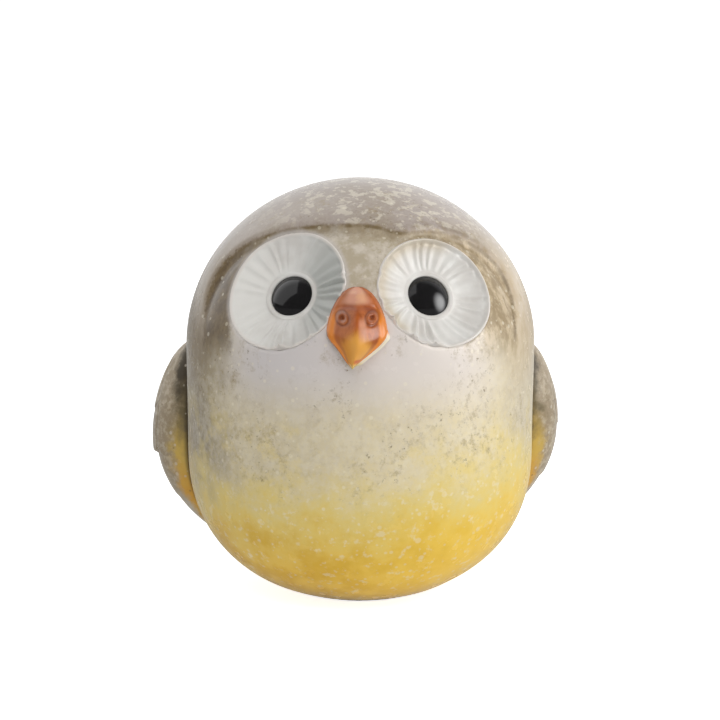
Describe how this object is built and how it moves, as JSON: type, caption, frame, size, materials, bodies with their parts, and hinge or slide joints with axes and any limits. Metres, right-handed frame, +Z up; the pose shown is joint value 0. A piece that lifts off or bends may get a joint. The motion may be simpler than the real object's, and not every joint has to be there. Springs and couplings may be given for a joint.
{
  "type": "owl figurine",
  "caption": "Round ceramic owl figurine with dished feather discs round domed black eyes, a kite-shaped beak, folded side wings, a short tail and a felt base.",
  "frame": {"origin": "centre of the felt base's underside, on the surface the owl stands on", "axes": "+Z up, -Y the way the owl faces, +X towards the owl's own left wing"},
  "size_m": [0.1194, 0.1149, 0.12],
  "materials": {
    "speckled_glaze": "speckled gloss glaze, taupe over the hood, cream at the breast, yellow at the belly",
    "wing_glaze": "speckled gloss glaze, taupe outside and yellow at the front edge",
    "white_bisque": "satin white bisque with pressed feather grooves",
    "black_glaze": "black high gloss",
    "amber_glaze": "amber gloss glaze, thinner on the edges",
    "felt": "short felt"
  },
  "bodies": {
    "root": {"body_shell": "speckled_glaze", "wing_left": "wing_glaze", "wing_right": "wing_glaze", "tail": "wing_glaze", "eye_disc_left": "white_bisque", "eye_disc_right": "white_bisque", "eye_left": "black_glaze", "eye_right": "black_glaze", "beak": "amber_glaze", "felt_base": "felt"}
  },
  "joints": []
}
